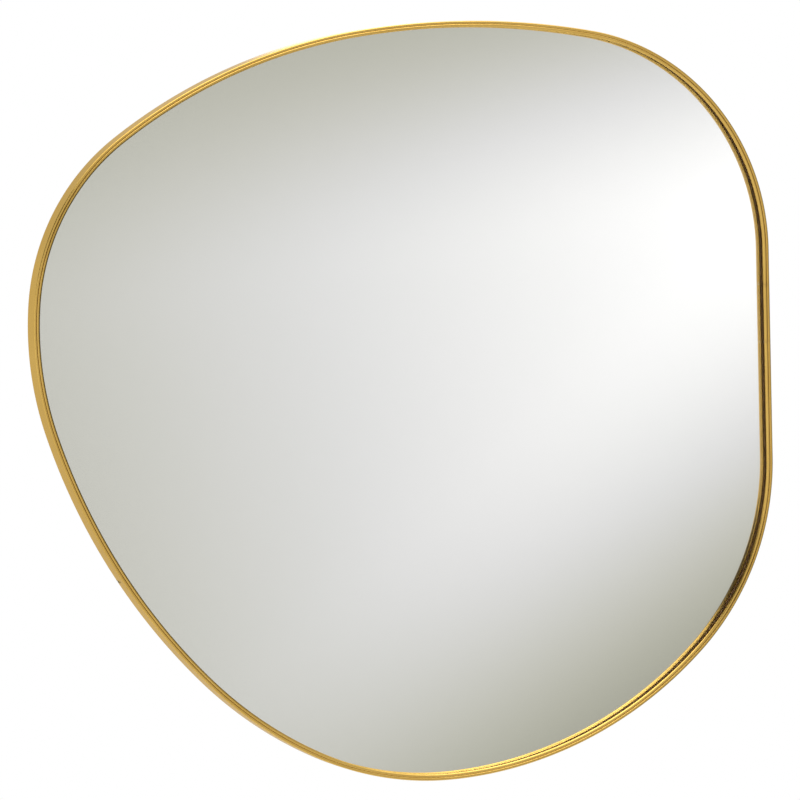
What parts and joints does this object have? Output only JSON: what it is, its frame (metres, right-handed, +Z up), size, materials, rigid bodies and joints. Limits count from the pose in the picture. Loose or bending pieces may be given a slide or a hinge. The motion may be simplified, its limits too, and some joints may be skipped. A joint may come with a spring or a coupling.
{
  "type": "irregular shaped mirror",
  "caption": "Irregularly curved wall mirror in a thin gold-coloured metal frame, with keyhole hangers on its backing board.",
  "frame": {"origin": "midway between the round ends of the two hanging keyholes, on the outer face of their plates, which is the plane of the frame's rear edge", "axes": "+X to the right as seen by somebody in front of the mirror, +Y into the wall, +Z up"},
  "size_m": [0.799, 0.023, 0.7743],
  "materials": {
    "gold_metal": "satin, brushed along its length, plated in a gold colour",
    "clear_glass": "polished, with a ground edge",
    "silvering": "silvered, painted on its back",
    "foam_tape": "white foam, sticky on both faces",
    "fibreboard": "raw medium-density fibreboard",
    "zinc_steel": "bright zinc plating",
    "screw_steel": "zinc plating",
    "bumper_rubber": "matt black rubber"
  },
  "bodies": {
    "root": {"side_band_upper": "gold_metal", "side_band_lower": "gold_metal", "front_bead_long": "gold_metal", "front_bead_insert": "gold_metal", "mirror_glass": "clear_glass", "silver_coat": "silvering", "tape_strip_1": "foam_tape", "tape_strip_2": "foam_tape", "tape_strip_3": "foam_tape", "tape_strip_4": "foam_tape", "tape_strip_5": "foam_tape", "backing_board": "fibreboard", "fixing_tab_1": "zinc_steel", "fixing_tab_2": "zinc_steel", "fixing_tab_3": "zinc_steel", "fixing_tab_4": "zinc_steel", "fixing_tab_5": "zinc_steel", "fixing_tab_6": "zinc_steel", "fixing_tab_7": "zinc_steel", "fixing_tab_8": "zinc_steel", "tab_screws": "screw_steel", "hanger_left": "zinc_steel", "hanger_right": "zinc_steel", "hanger_screws": "screw_steel", "wall_bumper_1": "bumper_rubber", "wall_bumper_2": "bumper_rubber", "wall_bumper_3": "bumper_rubber", "wall_bumper_4": "bumper_rubber"}
  },
  "joints": []
}
